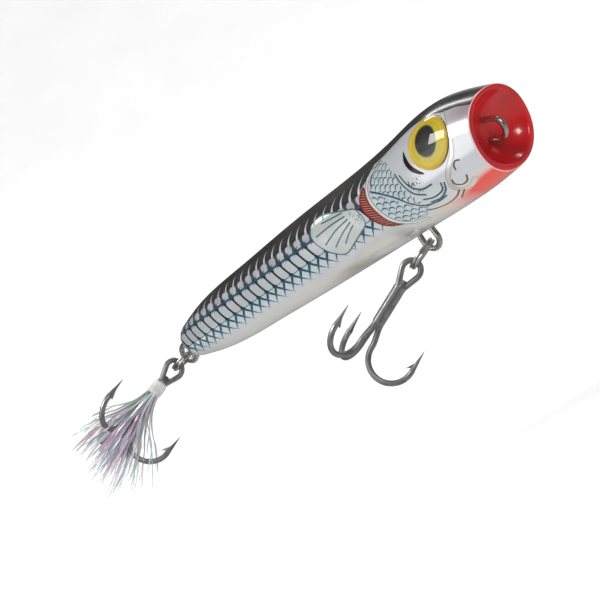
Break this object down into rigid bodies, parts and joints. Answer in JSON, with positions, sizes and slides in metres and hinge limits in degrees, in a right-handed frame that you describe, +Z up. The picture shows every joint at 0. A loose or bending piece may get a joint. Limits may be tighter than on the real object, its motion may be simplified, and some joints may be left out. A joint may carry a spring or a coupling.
{
  "type": "topwater popper",
  "caption": "Cup-faced topwater popper lure with wire eyes, split rings, treble hooks and a tinsel-dressed tail hook.",
  "frame": {"origin": "centre of the line tie's wire eye, in the cup of the nose", "axes": "+X forward out of the cup, along the body; +Y to the lure's left; +Z up, to the lure's back"},
  "size_m": [0.1001, 0.0334, 0.0305],
  "materials": {
    "painted_shell": "bright plated and painted, clear gloss coat",
    "eye_foil": "printed foil",
    "clear_epoxy": "clear glossy",
    "nickel_wire": "bright nickel",
    "nickel_ring": "bright nickel",
    "hook_wire": "satin dark nickel",
    "ballast_steel": "plain",
    "bearing_steel": "polished",
    "whipping_thread": "waxed thread under clear lacquer",
    "tinsel": "pearl mylar, iridescent"
  },
  "bodies": {
    "body": {"left_shell": "painted_shell", "right_shell": "painted_shell", "left_eye_disc": "eye_foil", "right_eye_disc": "eye_foil", "left_eye_dome": "clear_epoxy", "right_eye_dome": "clear_epoxy", "line_tie": "nickel_wire", "belly_hanger": "nickel_wire", "tail_hanger": "nickel_wire", "ballast_slug": "ballast_steel"},
    "front_ball": {"front_rattle_ball": "bearing_steel"},
    "rear_ball": {"rear_rattle_ball": "bearing_steel"},
    "belly_ring": {"belly_split_ring": "nickel_ring"},
    "belly_treble": {"belly_hook_pair": "hook_wire", "belly_hook_third": "hook_wire"},
    "tail_ring": {"tail_split_ring": "nickel_ring"},
    "tail_treble": {"tail_hook_pair": "hook_wire", "tail_hook_third": "hook_wire", "thread_wrap": "whipping_thread", "tinsel_skirt": "tinsel"}
  },
  "joints": [
    {"name": "front_ball_rattle", "type": "slide", "parent": "body", "child": "front_ball", "axis": [1, 0, 0], "range_m": [0, 0.003]},
    {"name": "rear_ball_rattle", "type": "slide", "parent": "body", "child": "rear_ball", "axis": [1, 0, 0], "range_m": [0, 0.003]},
    {"name": "belly_ring_swing", "type": "hinge", "parent": "body", "child": "belly_ring", "pos_m": [-0.0222, 0, -0.00795], "axis": [0, 1, 0], "range_deg": [-110, 11]},
    {"name": "belly_hook_swing", "type": "hinge", "parent": "belly_ring", "child": "belly_treble", "pos_m": [-0.02419, -0.00127, -0.00879], "axis": [0.3006, 0.1503, -0.9418], "range_deg": [-65, 30]},
    {"name": "tail_ring_swing", "type": "hinge", "parent": "body", "child": "tail_ring", "pos_m": [-0.08175, 0, -0.00135], "axis": [0, 1, 0], "range_deg": [-90, 50]},
    {"name": "tail_hook_swing", "type": "hinge", "parent": "tail_ring", "child": "tail_treble", "pos_m": [-0.08412, 0.00068, -0.00176], "axis": [0.1709, 0, -0.9853], "range_deg": [-15, 80]}
  ]
}
